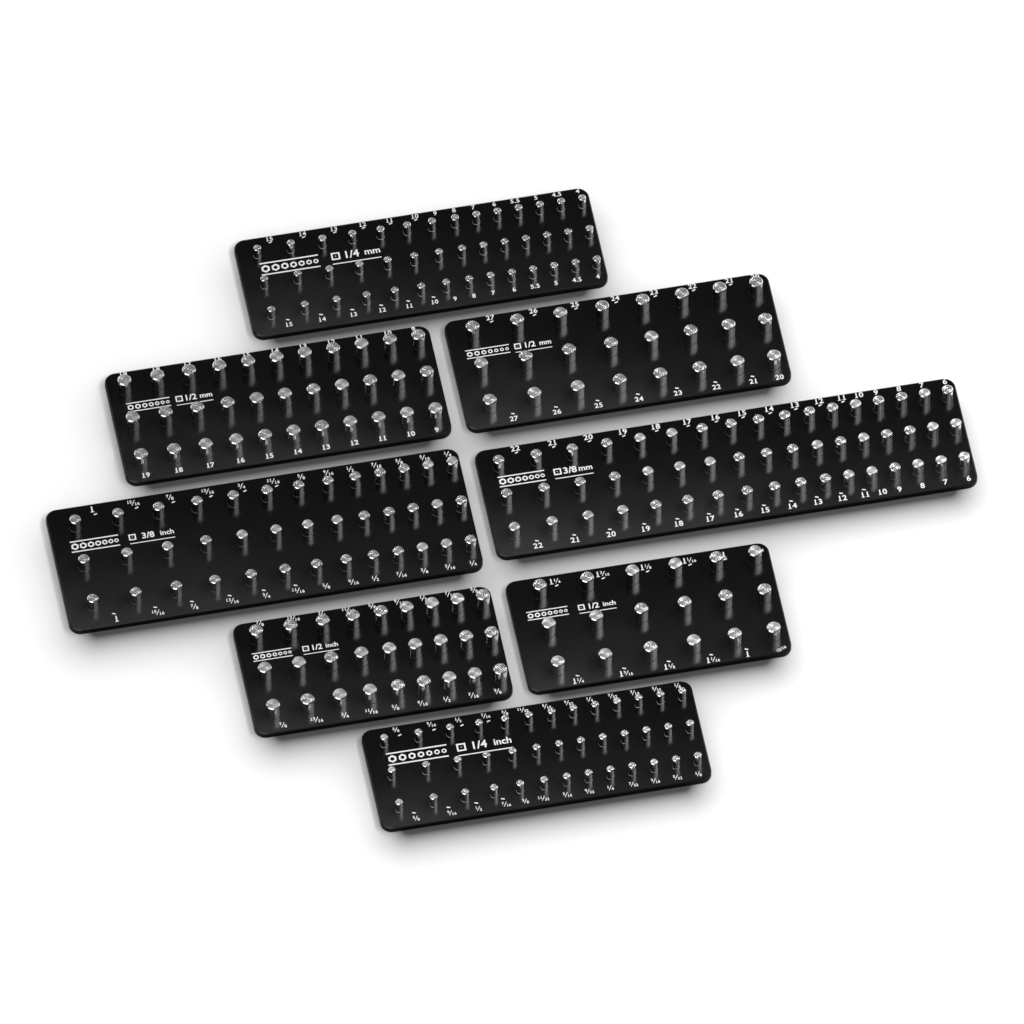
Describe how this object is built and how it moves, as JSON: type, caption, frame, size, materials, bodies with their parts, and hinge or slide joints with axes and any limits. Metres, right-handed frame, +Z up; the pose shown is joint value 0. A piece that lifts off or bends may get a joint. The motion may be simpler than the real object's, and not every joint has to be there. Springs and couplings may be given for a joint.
{
  "type": "socket organizer tray set",
  "caption": "Set of flat rounded metal trays with rows of turned posts that hold drive sockets by size, laid out for a tool drawer.",
  "frame": {"origin": "centre of the whole set on the surface that the trays lie on", "axes": "+X to the right along the trays, where the posts stand closer together; +Y to the back of the set; +Z up along the posts"},
  "size_m": [0.7712, 0.615, 0.0209],
  "materials": {
    "black_plate": "black anodised, satin gloss",
    "turned_post": "bright, finely turned",
    "screw": "zinc plated"
  },
  "bodies": {
    "quarter_mm_tray": {"quarter_mm_plate": "black_plate", "quarter_mm_rear_posts": "turned_post", "quarter_mm_middle_posts": "turned_post", "quarter_mm_front_posts": "turned_post", "quarter_mm_rear_screws": "screw", "quarter_mm_middle_screws": "screw", "quarter_mm_front_screws": "screw"},
    "half_mm_small_tray": {"half_mm_small_plate": "black_plate", "half_mm_small_rear_posts": "turned_post", "half_mm_small_middle_posts": "turned_post", "half_mm_small_front_posts": "turned_post", "half_mm_small_rear_screws": "screw", "half_mm_small_middle_screws": "screw", "half_mm_small_front_screws": "screw"},
    "half_mm_large_tray": {"half_mm_large_plate": "black_plate", "half_mm_large_rear_posts": "turned_post", "half_mm_large_middle_posts": "turned_post", "half_mm_large_front_posts": "turned_post", "half_mm_large_rear_screws": "screw", "half_mm_large_middle_screws": "screw", "half_mm_large_front_screws": "screw"},
    "three_eighths_in_tray": {"three_eighths_in_plate": "black_plate", "three_eighths_in_rear_posts": "turned_post", "three_eighths_in_middle_posts": "turned_post", "three_eighths_in_front_posts": "turned_post", "three_eighths_in_rear_screws": "screw", "three_eighths_in_middle_screws": "screw", "three_eighths_in_front_screws": "screw"},
    "three_eighths_mm_tray": {"three_eighths_mm_plate": "black_plate", "three_eighths_mm_rear_posts": "turned_post", "three_eighths_mm_middle_posts": "turned_post", "three_eighths_mm_front_posts": "turned_post", "three_eighths_mm_rear_screws": "screw", "three_eighths_mm_middle_screws": "screw", "three_eighths_mm_front_screws": "screw"},
    "half_in_small_tray": {"half_in_small_plate": "black_plate", "half_in_small_rear_posts": "turned_post", "half_in_small_middle_posts": "turned_post", "half_in_small_front_posts": "turned_post", "half_in_small_rear_screws": "screw", "half_in_small_middle_screws": "screw", "half_in_small_front_screws": "screw"},
    "half_in_large_tray": {"half_in_large_plate": "black_plate", "half_in_large_rear_posts": "turned_post", "half_in_large_middle_posts": "turned_post", "half_in_large_front_posts": "turned_post", "half_in_large_rear_screws": "screw", "half_in_large_middle_screws": "screw", "half_in_large_front_screws": "screw"},
    "quarter_in_tray": {"quarter_in_plate": "black_plate", "quarter_in_rear_posts": "turned_post", "quarter_in_middle_posts": "turned_post", "quarter_in_front_posts": "turned_post", "quarter_in_rear_screws": "screw", "quarter_in_middle_screws": "screw", "quarter_in_front_screws": "screw"}
  },
  "joints": [
    {"name": "quarter_mm_lift", "type": "slide", "parent": "three_eighths_mm_tray", "child": "quarter_mm_tray", "axis": [0, 0, 1], "range_m": [0, 0.1]},
    {"name": "half_mm_small_lift", "type": "slide", "parent": "three_eighths_mm_tray", "child": "half_mm_small_tray", "axis": [0, 0, 1], "range_m": [0, 0.1]},
    {"name": "half_mm_large_lift", "type": "slide", "parent": "three_eighths_mm_tray", "child": "half_mm_large_tray", "axis": [0, 0, 1], "range_m": [0, 0.1]},
    {"name": "three_eighths_in_lift", "type": "slide", "parent": "three_eighths_mm_tray", "child": "three_eighths_in_tray", "axis": [0, 0, 1], "range_m": [0, 0.1]},
    {"name": "half_in_small_lift", "type": "slide", "parent": "three_eighths_mm_tray", "child": "half_in_small_tray", "axis": [0, 0, 1], "range_m": [0, 0.1]},
    {"name": "half_in_large_lift", "type": "slide", "parent": "three_eighths_mm_tray", "child": "half_in_large_tray", "axis": [0, 0, 1], "range_m": [0, 0.1]},
    {"name": "quarter_in_lift", "type": "slide", "parent": "three_eighths_mm_tray", "child": "quarter_in_tray", "axis": [0, 0, 1], "range_m": [0, 0.1]}
  ]
}
